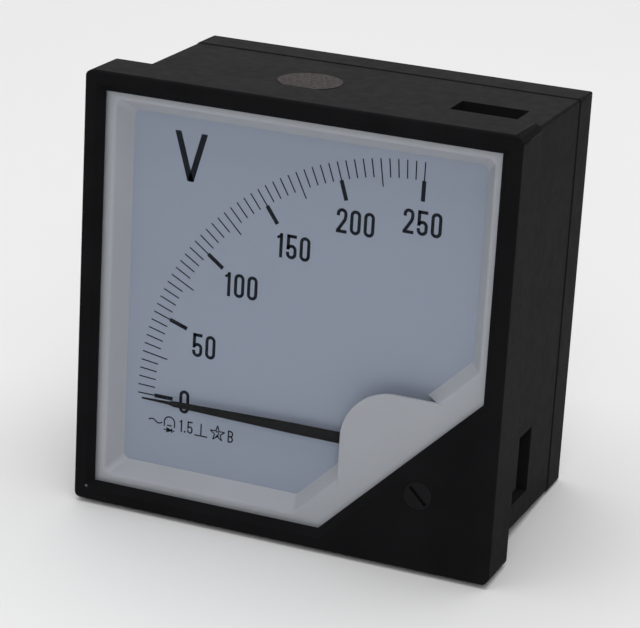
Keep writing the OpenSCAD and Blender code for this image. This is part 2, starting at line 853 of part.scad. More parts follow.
module series_resistors() {
    color([0.45, 0.6, 0.7]) for (i = [0:1]) axial_part(board_x + 10 + 6.5 * i, 0, 4, 11, 0.7);
}

// A round wire along a list of points
module wire(points, d) {
    sides = 8;
    last = len(points) - 1;
    rings = [for (i = [0:last])
        let (ahead = points[min(i + 1, last)] - points[max(i - 1, 0)])
        let (t = ahead / norm(ahead))
        let (u = cross(t, abs(t[2]) < 0.9 ? [0, 0, 1] : [1, 0, 0]))
        let (a = u / norm(u), b = cross(t, a))
        each [for (k = [0:sides - 1])
            points[i] + d / 2 * (a * cos(k * 360 / sides) + b * sin(k * 360 / sides))]];
    walls = [for (i = [0:last - 1], k = [0:sides - 1])
        let (n = (k + 1) % sides)
        each [[i * sides + k, i * sides + n, (i + 1) * sides + n],
            [i * sides + k, (i + 1) * sides + n, (i + 1) * sides + k]]];
    caps = [[for (k = [sides - 1:-1:0]) k], [for (k = [0:sides - 1]) last * sides + k]];
    polyhedron(points = rings, faces = concat(walls, caps));
}

// A curve through three sections, straight out of one end and into the other
function bend(a, b, c, e, n = 12) = [for (i = [0:n])
    let (t = i / n, s = 1 - t)
    s * s * s * a + 3 * s * s * t * b + 3 * s * t * t * c + t * t * t * e];

// A list without its first entry
function rest_of(list) = [for (i = [1:len(list) - 1]) list[i]];

// From the rear hairspring's arm and from the bracket, through the floor to the board
module movement_leads() {
    wire_d = 1;
    board_end = board_x + board_w / 2 - 4;
    color([0.15, 0.25, 0.6]) for (s = [-1, 1]) {
        start = s < 0 ? [pivot_x - 1, bracket_y - lever_t - wire_d / 2, pivot_z + 10.4]
            : [pivot_x + 2, bracket_y + bracket_t + wire_d / 2 + fit, pivot_z + bracket_h - 3];
        middle = [pivot_x + 2 * s, floor_back + 1, wire_hole_z];
        finish = [board_end, board_y + board_t + slip, 4 * s];
        wire(concat(
            bend(start, start + [0, s, 7], middle - [0, 8, 0], middle),
            rest_of(bend(middle, middle + [0, 10, 0], finish + [0, 8, 0], finish))), wire_d);
    }
}

// From each terminal's lug to the board
module terminal_leads() {
    wire_d = 1.4;
    color([0.6, 0.12, 0.1]) for (s = [-1, 1]) {
        start = [s * stud_pitch / 2, lug_y - wire_d / 2, 8.5];
        finish = [board_x + 8 * s, board_y + board_t + slip, board_h / 2 - 4];
        wire(bend(start, start + [0, 0, 7], finish + [0, 10, 2], finish), wire_d);
    }
}

module terminal_lugs() {
    color([0.8, 0.8, 0.78]) for (s = [-1, 1]) difference() {
        slab(lug_y, boss_y) translate([s * stud_pitch / 2, 0]) {
            circle(d = stud_d + 4);
            translate([-1.6, 0]) square([3.2, 10.5]);
        }
        rod(s * stud_pitch / 2, 0, lug_y - 1, lug_y + 2, stud_d + 0.2);
    }
}

module terminal_studs() {
    color([0.8, 0.66, 0.35]) for (s = [-1, 1]) {
        rod(s * stud_pitch / 2, 0, lug_y - 3, lug_y, stud_d + 4, 6);
        rod(s * stud_pitch / 2, 0, lug_y - eps, case_depth + stud_out, stud_d);
    }
}

module stud_ring(y, t, d) {
    for (s = [-1, 1]) difference() {
        rod(s * stud_pitch / 2, 0, y, y + t, d);
        rod(s * stud_pitch / 2, 0, y - 1, y + t + 1, stud_d + 0.1);
    }
}

module terminal_washers() {
    color([0.82, 0.72, 0.42]) {
        stud_ring(case_depth, washer_t, stud_d * 2);
        stud_ring(case_depth + washer_t + nut_t, washer_t, stud_d * 2);
    }
}

module lock_washers() {
    y = case_depth + 2 * washer_t + nut_t;
    color([0.75, 0.76, 0.78]) difference() {
        stud_ring(y, 1.2, stud_d + 3.6);
        for (s = [-1, 1]) translate([s * stud_pitch / 2, y + 0.6, 3.5]) rotate([0, 0, 20])
            cube([0.7, 4, 5], center = true);
    }
}

module terminal_nuts() {
    color([0.8, 0.66, 0.35]) for (y = [case_depth + washer_t, case_depth + 2 * washer_t + nut_t + 1.2])
        for (s = [-1, 1]) difference() {
            rod(s * stud_pitch / 2, 0, y, y + nut_t, nut_af / cos(30), 6);
            rod(s * stud_pitch / 2, 0, y - 1, y + nut_t + 1, stud_d + 0.1);
        }
}

bezel();
window_pane();
scale_mask();
dial_plate();
case_body();
rear_cover();
cover_screws();
seal_sticker();
zero_screw();
zero_lever();
front_bridge();
bridge_screws();
front_standoffs();
front_jewel_screw();
pivot_jewels();
pointer();
balance_weights();
front_collet();
hairspring_front();
front_staff();
coil_former();
coil_winding();
rear_staff();
rear_collet();
hairspring_rear();
rear_spring_arm();
rear_jewel_screw();
core_magnet();
magnet_spacers();
yoke_ring();
rear_standoffs();
rear_bracket();
ring_screws();
bracket_screws();
rectifier_board();
board_screws();
diodes();
series_resistors();
movement_leads();
terminal_leads();
terminal_lugs();
terminal_studs();
terminal_washers();
lock_washers();
terminal_nuts();
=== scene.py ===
"""Finishes a square panel meter: front, mask, dial print, finishes, light and camera.

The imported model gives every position. Lengths are in metres, +X is right, +Z is up
and the dial looks along -Y.
"""

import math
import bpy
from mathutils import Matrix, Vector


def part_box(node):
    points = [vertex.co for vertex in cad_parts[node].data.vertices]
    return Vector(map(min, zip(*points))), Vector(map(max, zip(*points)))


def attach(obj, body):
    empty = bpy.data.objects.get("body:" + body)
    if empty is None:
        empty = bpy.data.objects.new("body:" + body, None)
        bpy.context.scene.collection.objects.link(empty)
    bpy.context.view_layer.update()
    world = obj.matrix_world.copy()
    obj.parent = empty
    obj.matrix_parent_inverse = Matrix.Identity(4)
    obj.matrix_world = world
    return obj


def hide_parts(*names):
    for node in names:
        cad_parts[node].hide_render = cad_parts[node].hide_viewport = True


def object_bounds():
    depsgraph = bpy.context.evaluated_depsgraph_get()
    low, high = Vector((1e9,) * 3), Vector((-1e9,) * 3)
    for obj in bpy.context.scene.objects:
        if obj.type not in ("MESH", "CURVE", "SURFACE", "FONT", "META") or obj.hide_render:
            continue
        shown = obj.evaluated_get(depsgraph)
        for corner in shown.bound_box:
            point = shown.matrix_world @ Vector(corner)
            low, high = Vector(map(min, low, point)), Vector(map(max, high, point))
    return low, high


bl_info = {
    "name": "Square Panel Meter",
    "version": (1, 0, 0),
    "blender": (4, 5, 0),
    "location": "View3D > Sidebar > Panel Meter",
    "description": "Builds the mask, the dial print and the finishes of a square panel meter",
    "category": "Add Mesh",
}

import bmesh
import bpy
from bpy.props import FloatProperty, FloatVectorProperty, IntProperty, PointerProperty
from mathutils import Matrix, Vector

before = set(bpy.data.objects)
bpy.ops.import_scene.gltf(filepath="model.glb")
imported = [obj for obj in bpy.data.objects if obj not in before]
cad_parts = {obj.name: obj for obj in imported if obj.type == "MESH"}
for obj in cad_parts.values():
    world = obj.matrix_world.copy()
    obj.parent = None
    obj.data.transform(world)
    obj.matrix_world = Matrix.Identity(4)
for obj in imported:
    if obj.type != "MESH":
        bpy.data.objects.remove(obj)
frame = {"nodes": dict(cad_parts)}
CAD_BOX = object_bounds()

MM = 0.001
TINY = 0.001 * MM
CREASE_STEPS = 6
TOWARDS_READER = Vector((0, -1, 0))
PANE_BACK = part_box("window_pane")[1].y
MASK_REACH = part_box("scale_mask")[1].x
DIAL_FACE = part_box("dial_plate")[0].y
STAFF_LO, STAFF_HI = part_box("front_collet")
PIVOT = Vector(((STAFF_LO.x + STAFF_HI.x) / 2, 0, (STAFF_LO.z + STAFF_HI.z) / 2))
FLOOR_LEVEL = CAD_BOX[0].z
REAR_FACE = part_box("rear_cover")[1].y
# a small scuffed spot near the front frame's lower left corner
NICK = (CAD_BOX[0].x + 3.8 * MM, CAD_BOX[0].y, CAD_BOX[0].z + 3.95 * MM)
NICK_RADIUS = 0.3 * MM
# middles of the scale's numbers on the dial, as millimetres right of and above its middle
NUMBER_MIDDLES = (
    (-31.6, -29.5),
    (-26.5, -12.75),
    (-16.6, 5.85),
    (-2.35, 19.0),
    (14.45, 28.45),
    (32.6, 31.35),
)
# the unit letter's two upper ends and its foot, measured the same way
UNIT_TOP = 45.2 * MM
UNIT_ENDS = (-36.4 * MM, -28.75 * MM)
UNIT_FOOT = -32.35 * MM
# each light's name, width, height and place, and the point that it shines at
LIGHTS = (
    ("key", 1.6, 1.6, (0.0, 0.05, 1.55), (0, 0.05, 0)),
    ("fill", 1.4, 1.4, (0.85, -2.0, 1.35), (0, 0, 0)),
    ("rear", 2.2, 1.3, (-0.93, 2.28, 0.9), (0, 0, 0)),
)
FLOOR_REACH = 4


# ---------- settings ----------


def size(name, description, millimetres):
    """A length that the sidebar shows in the scene's own unit."""
    return FloatProperty(
        name=name,
        description=description,
        default=millimetres * MM,
        min=0,
        unit="LENGTH",
        precision=5,
    )


def angle(name, description, degrees):
    """An angle that the sidebar shows in degrees."""
    return FloatProperty(
        name=name, description=description, default=math.radians(degrees), subtype="ANGLE"
    )


def colour(name, description, rgb):
    """A base colour."""
    return FloatVectorProperty(
        name=name, description=description, default=rgb, min=0, max=1, subtype="COLOR"
    )


def power(name, description, watts):
    """The power of a light."""
    return FloatProperty(name=name, description=description, default=watts, min=0, unit="POWER")


class MaskSettings(bpy.types.PropertyGroup):
    """Sizes of the moulded mask between the dial and the clear pane."""

    thickness: size("Thickness", "Thickness of the mask", 0.9)
    pane_gap: size("Pane gap", "Room between the mask and the clear pane", 0.02)
    rim: size("Opening", "Half the width of the mask's opening at its front", 52.4)
    rim_cut: size("Opening cut", "Where the opening's lower right corner is cut, as x - z", 56.24)
    lean: size("Lean", "How far the sloped wall leans in", 3.4)
    flange_cut: size("Flange cut", "Where the flange's lower right corner is cut, as x - z", 70)
    flange_corner: size("Flange corner", "Radius of the flange's corners", 0.2)
    crease: size("Crease radius", "Radius of the soft crease round the opening", 1.3)
    corner: size("Corner radius", "Radius of the opening's corners", 1.7)
    hump_x: size("Hump centre X", "Centre of the hump's round corner", 30)
    hump_z: size("Hump centre drop", "How far the hump's centre lies below the middle", 28.6)
    hump_radius: size("Hump radius", "Radius of the plate that covers the pivot", 14.5)
    hump_edge: size("Hump edge", "Rounding of the hump's front edge", 0.25)


class DialSettings(bpy.types.PropertyGroup):
    """Sizes of the scale and the print on the dial."""

    radius: size("Scale radius", "Outer radius of the scale marks", 77.2)
    zero: angle("Zero", "Direction of the zero mark, from right towards up", 179.6)
    span: angle("Span", "Angle from zero to full scale", 90)
    divisions: IntProperty(name="Divisions", description="Spaces on the scale", default=50, min=1)
    per_number: IntProperty(
        name="Divisions per number",
        description="Spaces from one number to the next",
        default=10,
        min=2,
    )
    step: IntProperty(
        name="Step", description="Value from one number to the next", default=50, min=1
    )
    mark: size("Mark", "Length of a small mark", 4.95)
    half_mark: size("Half mark", "Length of the mark halfway between two numbers", 7.4)
    bar: size("Bar", "Length of the broad bar at a number", 5.4)
    mark_width: size("Mark width", "Stroke of the marks", 0.33)
    bar_width: size("Bar width", "Width of the broad bars", 1.12)
    digit_height: size("Digit height", "Height of the scale's digits", 6.6)
    digit_width: size("Digit width", "Width of the scale's digits", 2.95)
    digit_stroke: size("Digit stroke", "Stroke of the scale's digits", 0.88)
    digit_gap: size("Digit gap", "Space between two digits of a number", 0.83)
    unit_height: size("Unit height", "Height of the unit letter", 13.3)
    unit_stroke: size("Unit stroke", "Stroke of the unit letter, measured level", 1.75)
    symbol_stroke: size("Symbol stroke", "Stroke of the small symbols", 0.36)
    symbol_drop: size("Symbol drop", "How far the row of symbols lies below the middle", 36.5)
    ink: size("Ink", "Thickness of the print", 0.03)


class TerminalSettings(bpy.types.PropertyGroup):
    """Sizes of the rear terminals."""

    radius: size("Stud radius", "Outer radius of the terminal studs", 2.5)
    head_radius: size("Head radius", "Radius over the corners of their hexagon heads", 4.5)
    head_height: size("Head height", "Height of their hexagon heads", 3)
    chamfer: size("Chamfer", "Chamfer at their ends", 0.4)
    pitch: size("Pitch", "Pitch of their thread", 0.8)
    thread_depth: size("Thread depth", "Depth of their thread", 0.45)


class FinishSettings(bpy.types.PropertyGroup):
    """Colours of the materials."""

    frame: colour("Front frame", "Black plastic of the front frame", (0.0094, 0.0094, 0.0103))
    bare_plastic: colour("Nick", "Scuffed spot on the front frame", (0.25, 0.25, 0.26))
    case: colour("Case", "Black plastic of the case and its cover", (0.0132, 0.0132, 0.0131))
    mask: colour("Mask", "Pale plastic of the mask", (0.425, 0.434, 0.472))
    dial: colour("Dial", "Pale paint of the dial", (0.322, 0.361, 0.452))
    ink: colour("Ink", "Print on the dial", (0.004, 0.006, 0.012))
    pointer: colour("Pointer", "Matte black paint of the pointer", (0.010, 0.010, 0.011))
    adjuster: colour("Zero adjuster", "Black plastic of the zero screw", (0.011, 0.011, 0.012))
    foil: colour("Seal", "Dark foil of the seal", (0.024, 0.0215, 0.022))
    foil_print: colour("Seal lattice", "Fine lattice on the seal", (0.029, 0.011, 0.012))


class StageSettings(bpy.types.PropertyGroup):
    """Camera, floor and light."""

    lens: FloatProperty(name="Lens", description="Focal length in millimetres", default=153.4)
    azimuth: angle("Azimuth", "Camera's direction, from the front towards the right", 22.16)
    elevation: angle("Elevation", "Camera's height above level", 18.83)
    roll: angle("Roll", "Camera's roll", 3.13)
    rest_lean: angle("Lean", "How far the meter leans back on its case", 4.1)
    shift: FloatVectorProperty(
        name="Shift",
        description="Shift of the picture, in parts of its width",
        default=(0.0318, 0.0076),
        size=2,
    )
    stand: FloatVectorProperty(
        name="Camera place",
        description="Where the camera stands",
        default=(0.2544, -0.6301, 0.2295),
        subtype="TRANSLATION",
        unit="LENGTH",
    )
    key: power("Key", "Power of the large light overhead", 20)
    fill: power("Fill", "Power of the light in front", 10)
    rear: power("Rear", "Power of the low light behind", 5)
    sky: FloatProperty(name="Sky", description="Brightness of the room", default=0.4)


# ---------- shared making ----------


def add_piece(name, bm, material, body, sharp=30):
    """Turns a bmesh into a finished piece that moves with a body of the meter."""
    for face in bm.faces:
        face.smooth = True
    for edge in bm.edges:
        edge.smooth = edge.calc_face_angle(math.pi) < math.radians(sharp)
    mesh = bpy.data.meshes.new(name)
    bm.to_mesh(mesh)
    bm.free()
    mesh.materials.append(material)
    piece = bpy.data.objects.new(name, mesh)
    bpy.context.scene.collection.objects.link(piece)
    piece.modifiers.new("Even shading", "WEIGHTED_NORMAL").keep_sharp = True
    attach(piece, body)
    return piece


def finish_nodes(material, *nodes, sharp=30):
    """Gives CAD nodes a material, and smooth shading between their sharp edges."""
    for name in nodes:
        node = frame["nodes"][name]
        node.data.materials.clear()
        node.data.materials.append(material)
        for polygon in node.data.polygons:
            polygon.use_smooth = True
        weld = node.modifiers.new("Weld", "WELD")
        weld.merge_threshold = 0.002 * MM
        split = node.modifiers.new("Sharp edges", "EDGE_SPLIT")
        split.split_angle = math.radians(sharp)
        split.use_edge_sharp = False
        node.modifiers.new("Even shading", "WEIGHTED_NORMAL").keep_sharp = True


def new_points(made):
    """The vertices among an operator's new geometry."""
    return [item for item in made if isinstance(item, bmesh.types.BMVert)]


def new_edges(made):
    """The edges among an operator's new geometry."""
    return [item for item in made if isinstance(item, bmesh.types.BMEdge)]


def thicken(bm, depth):
    """Makes flat faces into solids that reach back by depth."""
    made = bmesh.ops.extrude_face_region(bm, geom=bm.faces[:] + bm.edges[:] + bm.verts[:])
    bmesh.ops.translate(bm, vec=-TOWARDS_READER * depth, verts=new_points(made["geom"]))
    bmesh.ops.recalc_face_normals(bm, faces=bm.faces)


# ---------- materials ----------


class Finish:
    """A material, with the few nodes that these finishes are made of."""

    def __init__(self, name, base, roughness=0.5, metallic=0.0, specular=0.5):
        self.material = bpy.data.materials.new(name)
        self.material.use_nodes = True
        self.tree = self.material.node_tree
        self.shader = self.tree.nodes["Principled BSDF"]
        self.base = base
        self.shader.inputs["Base Color"].default_value = (*base, 1)
        self.shader.inputs["Roughness"].default_value = roughness
        self.shader.inputs["Metallic"].default_value = metallic
        self.shader.inputs["Specular IOR Level"].default_value = specular
        self.place = self.node("ShaderNodeTexCoord").outputs["Object"]

    def node(self, kind, **values):
        made = self.tree.nodes.new(kind)
        for key, value in values.items():
            setattr(made, key, value)
        return made

    def link(self, source, target):
        self.tree.links.new(source, target)

    def mapped(self, scale):
        """The piece's own coordinates, scaled along each axis."""
        mapping = self.node("ShaderNodeMapping")
        mapping.inputs["Scale"].default_value = scale
        self.link(self.place, mapping.inputs["Vector"])
        return mapping.outputs["Vector"]

    def noise(self, grain, detail=3, place=None):
        """Cloudy noise whose patches are about grain long."""
        noise = self.node("ShaderNodeTexNoise")
        noise.inputs["Scale"].default_value = 1 / grain
        noise.inputs["Detail"].default_value = detail
        self.link(place or self.place, noise.inputs["Vector"])
        return noise.outputs["Fac"]

    def levels(self, value, low, high, start=0.3, end=0.7):
        """Spreads a value between start and end over low to high."""
        spread = self.node("ShaderNodeMapRange")
        sockets = ("From Min", "From Max", "To Min", "To Max")
        for socket, number in zip(sockets, (start, end, low, high)):
            spread.inputs[socket].default_value = number
        self.link(value, spread.inputs["Value"])
        return spread.outputs["Result"]

    def maths(self, operation, first, second=0.0):
        """One step of arithmetic on sockets or numbers."""
        step = self.node("ShaderNodeMath", operation=operation)
        for socket, value in zip(step.inputs, (first, second)):
            if isinstance(value, (int, float)):
                socket.default_value = value
            else:
                self.link(value, socket)
        return step.outputs["Value"]

    def blend(self, share, first, second):
        """A colour between two others; each may be a socket or a colour."""
        mix = self.node("ShaderNodeMix", data_type="RGBA")
        self.link(share, mix.inputs["Factor"])
        for socket, value in ((mix.inputs[6], first), (mix.inputs[7], second)):
            if isinstance(value, bpy.types.NodeSocket):
                self.link(value, socket)
            else:
                socket.default_value = (*value, 1)
        return mix.outputs[2]

    def tint(self, share):
        """The base colour, darker or lighter."""
        return tuple(min(1.0, part * share) for part in self.base)

    def paint(self, value):
        self.link(value, self.shader.inputs["Base Color"])

    def roughen(self, value):
        self.link(value, self.shader.inputs["Roughness"])

    def bump(self, height, depth, strength=1.0):
        """Relief of the given depth."""
        bump = self.node("ShaderNodeBump")
        bump.inputs["Strength"].default_value = strength
        bump.inputs["Distance"].default_value = depth
        self.link(height, bump.inputs["Height"])
        self.link(bump.outputs["Normal"], self.shader.inputs["Normal"])


def moulded_plastic(name, base, roughness, specular, grain, relief, patch=14, spread=0.12):
    """Moulded plastic: an even colour with faint flow patches and a fine skin.

    The skin's grain and relief and the length of a patch are in millimetres. The colour
    varies up and down by the spread.
    """
    plastic = Finish(name, base, roughness, specular=specular)
    flow = plastic.noise(patch * MM, 2)
    dark, light = plastic.tint(1 - spread), plastic.tint(1 + spread)
    plastic.paint(plastic.blend(plastic.levels(flow, 0, 1), dark, light))
    skin = plastic.noise(grain * MM, 2)
    plastic.roughen(plastic.levels(plastic.noise(3 * MM), roughness - 0.04, roughness + 0.05))
    plastic.bump(skin, relief * MM, 0.5)
    return plastic


def worked_metal(name, base, roughness, lines=(1, 1, 1), grain=0.5, relief=0.004):
    """Turned, drawn or rolled metal: fine lines along one direction and a little tarnish.

    The lines are closer together along an axis with a larger factor. Their grain and relief
    are in millimetres.
    """
    metal = Finish(name, base, roughness, metallic=1.0)
    scratches = metal.noise(grain * MM, 4, metal.mapped(scale=lines))
    tarnish = metal.noise(6 * MM, 3)
    metal.paint(metal.blend(metal.levels(tarnish, 0, 1), metal.tint(0.78), metal.base))
    metal.roughen(metal.levels(scratches, roughness - 0.08, roughness + 0.12))
    metal.bump(scratches, relief * MM, 0.6)
    return metal


# ---------- front frame ----------


class METER_OT_front_frame(bpy.types.Operator):
    """Finish the black front frame"""

    bl_idname = "meter.front_frame"
    bl_label = "Front Frame"

    def execute(self, context):
        finish = context.scene.meter_finish
        plastic = moulded_plastic("frame_plastic", finish.frame, 0.34, 0.005, 0.3, 0.006)
        nick = plastic.node("ShaderNodeVectorMath", operation="DISTANCE")
        plastic.link(plastic.place, nick.inputs[0])
        nick.inputs[1].default_value = NICK
        bare = plastic.levels(nick.outputs["Value"], 1, 0, NICK_RADIUS, NICK_RADIUS + 0.2 * MM)
        black = plastic.shader.inputs["Base Color"].links[0].from_socket
        plastic.paint(plastic.blend(bare, black, finish.bare_plastic))
        finish_nodes(plastic.material, "bezel")
        return {"FINISHED"}


# ---------- mask ----------


def five_corners(half, cut):
    """Corners of a square whose lower right corner is cut off where x - z reaches cut."""
    return [(-half, -half), (cut - half, -half), (half, half - cut), (half, half), (-half, half)]


def outline(bm, corners, y, radius):
    """The edges of a closed outline at depth y with round corners."""
    before = set(bm.edges)
    points = [bm.verts.new((x, y, z)) for x, z in corners]
    bm.faces.new(points)
    for point in points:
        one, two = (edge.other_vert(point).co - point.co for edge in point.link_edges)
        bmesh.ops.bevel(
            bm,
            geom=[point],
            offset=radius / math.tan(one.angle(two) / 2),
            offset_type="OFFSET",
            affect="VERTICES",
            segments=6,
            profile=0.5,
            material=-1,
        )
    edges = [edge for edge in bm.edges if edge not in before]
    faces = list({face for edge in edges for face in edge.link_faces})
    bmesh.ops.delete(bm, geom=faces, context="FACES_ONLY")
    return edges


def mask_profile(sizes, front):
    """The mask's section from its flange over the crease to the dial, and back underneath.

    Each step gives how far the outline has grown past the opening, and its depth.
    """
    depth = DIAL_FACE - front
    slope = math.atan2(depth, sizes.lean)
    tangent = sizes.crease * math.tan(slope / 2)
    flange = MASK_REACH - sizes.rim
    profile = [(flange, front)]
    for step in range(CREASE_STEPS + 1):
        turn = slope * step / CREASE_STEPS
        grow = tangent - sizes.crease * math.sin(turn)
        profile.append((grow, front + sizes.crease * (1 - math.cos(turn))))
    under = front + sizes.thickness
    lean_under = sizes.lean / depth * sizes.thickness
    profile.append((-sizes.lean, DIAL_FACE))
    profile.append((sizes.thickness - sizes.lean, DIAL_FACE))
    profile.append((sizes.thickness - lean_under, under))
    profile.append((flange, under))
    return profile


def mask_ring(sizes, front):
    """The mask's flat rim and its sloped wall, as one closed ring.

    The outlines are joined at evenly stacked depths, where no two lie in one plane, and each
    is then moved to its real depth.
    """
    profile = mask_profile(sizes, front)
    bm = bmesh.new()
    loops = []
    for step, (grow, _) in enumerate(profile):
        half = sizes.rim + grow
        if abs(half - MASK_REACH) < TINY:
            cut, radius = sizes.flange_cut, sizes.flange_corner
        else:
            cut, radius = sizes.rim_cut + grow * math.sqrt(2), sizes.corner
        loops.append(outline(bm, five_corners(half, cut), step * MM, radius))
    rings = [list({point for edge in loop for point in edge.verts}) for loop in loops]
    for here, following in zip(loops, loops[1:] + loops[:1]):
        bmesh.ops.bridge_loops(bm, edges=here + following)
    for step, (ring, (_, y)) in enumerate(zip(rings, profile)):
        bmesh.ops.translate(bm, vec=(0, y - step * MM, 0), verts=ring)
    return bm


def clear_hump_corner(bm, left, top):
    """Takes the ring away right of left and below top, and closes the two cut ends."""
    for place, normal in (((left, 0, 0), (1, 0, 0)), ((0, 0, top), (0, 0, 1))):
        bmesh.ops.bisect_plane(
            bm,
            geom=bm.faces[:] + bm.edges[:] + bm.verts[:],
            dist=0.1 * TINY,
            plane_co=place,
            plane_no=normal,
        )
    middles = [(face, face.calc_center_median()) for face in bm.faces]
    gone = [face for face, middle in middles if middle.x > left and middle.z < top]
    bmesh.ops.delete(bm, geom=gone, context="FACES")
    bmesh.ops.holes_fill(bm, edges=[edge for edge in bm.edges if edge.is_boundary], sides=0)


def hump_plate(bm, sizes, front, left, top):
    """The flat plate over the pivot, as a solid.

    Returns the front edges that stand free over the dial. The corners at the fade let the
    rounding of those edges run out.
    """
    low = left - sizes.flange_cut
    end = MASK_REACH - sizes.flange_cut
    lip = sizes.rim_cut + 0.8 * sizes.crease
    fade = 0.3 * MM
    corners = [(left, low), (left, left - lip - fade), (left, left - lip), (left, top)]
    corners += [(lip + top, top), (lip + top + fade, top), (MASK_REACH, top), (MASK_REACH, end)]
    before = set(bm.faces)
    points = [bm.verts.new((x, front, z)) for x, z in corners]
    bm.faces.new(points)
    round_corner = bmesh.ops.bevel(
        bm,
        geom=[points[3]],
        offset=sizes.hump_radius,
        offset_type="OFFSET",
        affect="VERTICES",
        segments=40,
        profile=0.5,
        material=-1,
    )
    plate = [face for face in bm.faces if face not in before]
    made = bmesh.ops.extrude_face_region(bm, geom=plate)
    bmesh.ops.translate(bm, vec=(0, sizes.thickness, 0), verts=new_points(made["geom"]))
    free_ends = {points[2], points[4], *round_corner["verts"]}
    return [edge for edge in bm.edges if free_ends.issuperset(edge.verts)]


class METER_OT_front_mask(bpy.types.Operator):
    """Build the moulded mask with its sloped walls and the hump over the pivot"""

    bl_idname = "meter.front_mask"
    bl_label = "Front Mask"

    def execute(self, context):
        sizes = context.scene.meter_mask
        front = PANE_BACK + sizes.pane_gap
        left = sizes.hump_x - sizes.hump_radius
        top = sizes.hump_radius - sizes.hump_z
        bm = mask_ring(sizes, front)
        clear_hump_corner(bm, left, top)
        crest = hump_plate(bm, sizes, front, left, top)
        bmesh.ops.recalc_face_normals(bm, faces=bm.faces)
        bmesh.ops.bevel(
            bm,
            geom=crest,
            offset=sizes.hump_edge,
            offset_type="OFFSET",
            affect="EDGES",
            segments=3,
            profile=0.5,
            material=-1,
        )
        base = context.scene.meter_finish.mask
        plastic = moulded_plastic("mask_plastic", base, 0.5, 0.3, 0.5, 0.006, 30, 0.02)
        mask = add_piece("front_mask", bm, plastic.material, "meter")
        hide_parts("scale_mask")
        return {"FINISHED"}


# ---------- pane ----------


class METER_OT_window_pane(bpy.types.Operator):
    """Finish the clear pane"""

    bl_idname = "meter.window_pane"
    bl_label = "Window Pane"

    def execute(self, context):
        pane = Finish("clear_pane", (1, 1, 1))
        facing = pane.node("ShaderNodeFresnel")
        facing.inputs["IOR"].default_value = 1.1
        clear = pane.node("ShaderNodeBsdfTransparent")
        clear.inputs["Color"].default_value = (0.985, 0.99, 0.99, 1)
        gloss = pane.node("ShaderNodeBsdfGlossy")
        smears = pane.noise(25 * MM, 3)
        pane.link(pane.levels(smears, 0.03, 0.09), gloss.inputs["Roughness"])
        mix = pane.node("ShaderNodeMixShader")
        # light that leaves the pane isn't thrown back, so it stays clear at a slant
        side = pane.node("ShaderNodeNewGeometry")
        outer = pane.maths("SUBTRACT", 1.0, side.outputs["Backfacing"])
        pane.link(pane.maths("MULTIPLY", facing.outputs["Fac"], outer), mix.inputs["Fac"])
        pane.link(clear.outputs["BSDF"], mix.inputs[1])
        pane.link(gloss.outputs["BSDF"], mix.inputs[2])
        surface = pane.tree.nodes["Material Output"].inputs["Surface"]
        pane.link(mix.outputs["Shader"], surface)
        pane.tree.nodes.remove(pane.shader)
        finish_nodes(pane.material, "window_pane")
        return {"FINISHED"}


# ---------- dial print ----------


class Pen:
    """Draws a stroke of even width in the dial's plane by sweeping a short edge, the nib."""

    def __init__(self, bm, x, z, heading, width):
        self.bm = bm
        self.place = Vector((x, 0, z))
        self.heading = math.radians(heading)
        side = self.across() * width / 2
        ends = [bm.verts.new(self.place - side), bm.verts.new(self.place + side)]
        self.nib = self.start = bm.edges.new(ends)

    def along(self):
        return Vector((math.cos(self.heading), 0, math.sin(self.heading)))

    def across(self):
        return Vector((-math.sin(self.heading), 0, math.cos(self.heading)))

    def line(self, length):
        """Draws straight on."""
        made = bmesh.ops.extrude_edge_only(self.bm, edges=[self.nib])["geom"]
        points = new_points(made)
        bmesh.ops.translate(self.bm, vec=self.along() * length, verts=points)
        self.nib = next(edge for edge in new_edges(made) if set(edge.verts) == set(points))
        self.place = self.place + self.along() * length
        return self

    def arc(self, radius, degrees):
        """Turns left for a positive angle and right for a negative one."""
        turn = math.radians(degrees)
        centre = self.place + self.across() * math.copysign(radius, turn)
        made = bmesh.ops.spin(
            self.bm,
            geom=[self.nib, *self.nib.verts],
            cent=centre,
            axis=TOWARDS_READER,
            angle=turn,
            steps=max(2, round(abs(degrees) / 15)),
            use_merge=False,
        )
        self.nib = new_edges(made["geom_last"])[0]
        self.place = centre + Matrix.Rotation(turn, 3, TOWARDS_READER) @ (self.place - centre)
        self.heading += turn
        return self

    def close(self):
        """Joins the stroke's end to its start."""
        ends = [*self.start.verts, *self.nib.verts]
        bmesh.ops.remove_doubles(self.bm, verts=ends, dist=TINY)


